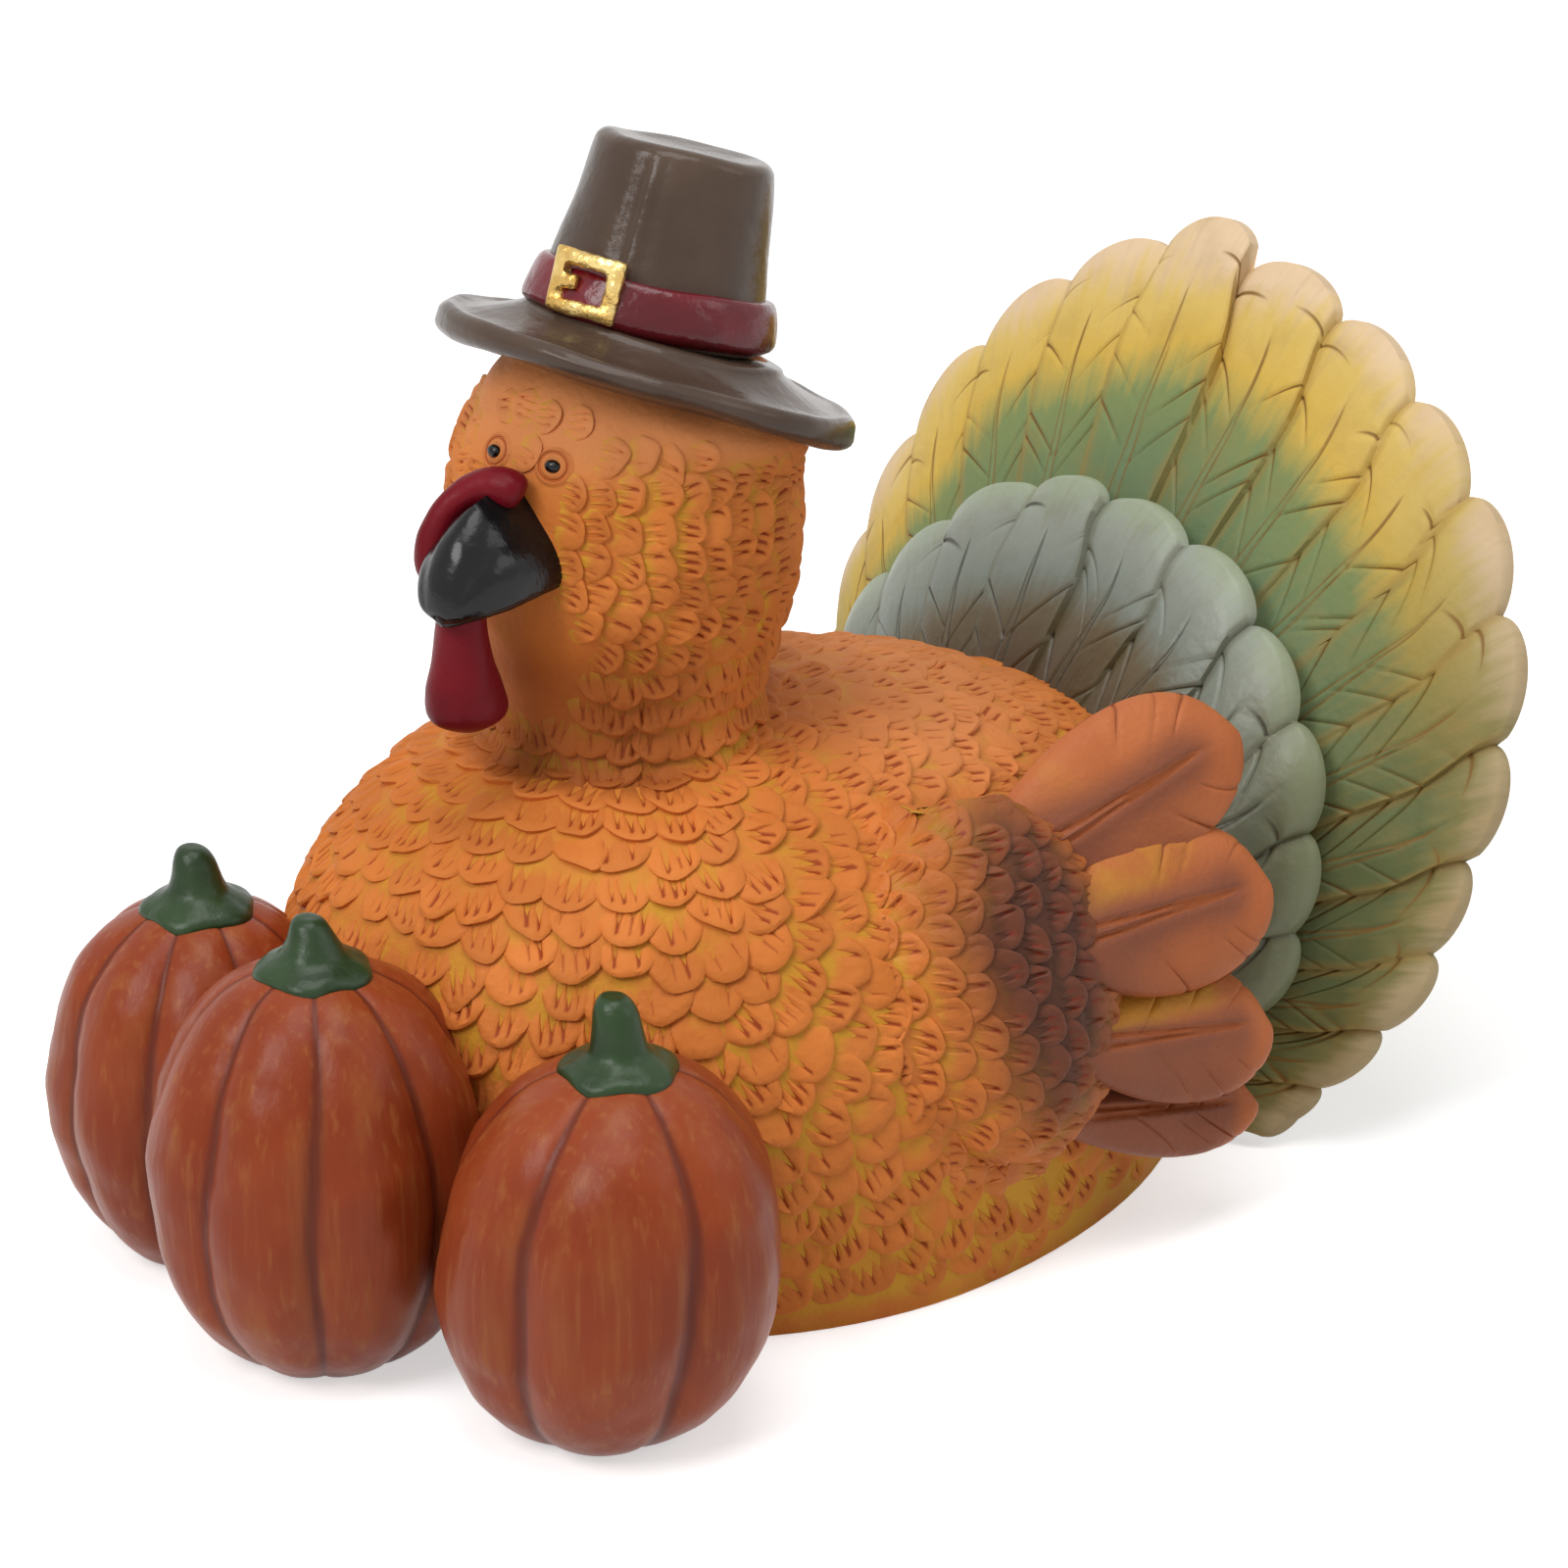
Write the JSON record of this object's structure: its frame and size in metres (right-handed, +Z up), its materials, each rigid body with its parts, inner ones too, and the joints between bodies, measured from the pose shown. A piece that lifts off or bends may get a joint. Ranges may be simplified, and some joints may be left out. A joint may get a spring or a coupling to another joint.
{
  "type": "turkey figurine",
  "caption": "Round cast turkey ornament with a fanned tail, scaled plumage and a buckled hat, standing on a flat base behind a row of lobed pumpkins.",
  "frame": {"origin": "on the flat base, under the body, on the bird's middle plane", "axes": "+Z up, the bird looks along -Y, its left side is +X"},
  "size_m": [0.0928, 0.1406, 0.103],
  "materials": {
    "plumage": "satin paint over cast resin",
    "black_paint": "semi-gloss paint",
    "red_paint": "semi-gloss paint",
    "hat_paint": "gloss paint",
    "band_paint": "gloss paint",
    "gold_paint": "rough gold paint",
    "covert_paint": "satin paint over cast resin",
    "flight_paint": "satin paint over cast resin",
    "outer_tail_paint": "satin paint over cast resin",
    "inner_tail_paint": "pearly satin paint over cast resin",
    "pumpkin_paint": "gloss paint with dry brushing",
    "stem_paint": "gloss paint"
  },
  "bodies": {
    "root": {"body": "plumage", "head": "plumage", "eye_left": "black_paint", "eye_right": "black_paint", "beak_upper": "black_paint", "beak_lower": "black_paint", "snood": "red_paint", "wattle": "red_paint", "hat_brim": "hat_paint", "hat_crown": "hat_paint", "hat_band": "band_paint", "hat_buckle": "gold_paint", "wing_left_coverts": "covert_paint", "wing_right_coverts": "covert_paint", "tail_outer_fan": "outer_tail_paint", "tail_inner_fan": "inner_tail_paint", "wing_left_feather_1": "flight_paint", "wing_left_feather_2": "flight_paint", "wing_left_feather_3": "flight_paint", "wing_left_feather_4": "flight_paint", "wing_right_feather_1": "flight_paint", "wing_right_feather_2": "flight_paint", "wing_right_feather_3": "flight_paint", "wing_right_feather_4": "flight_paint", "pumpkin_left": "pumpkin_paint", "pumpkin_stem_left": "stem_paint", "pumpkin_middle": "pumpkin_paint", "pumpkin_stem_middle": "stem_paint", "pumpkin_right": "pumpkin_paint", "pumpkin_stem_right": "stem_paint"}
  },
  "joints": []
}
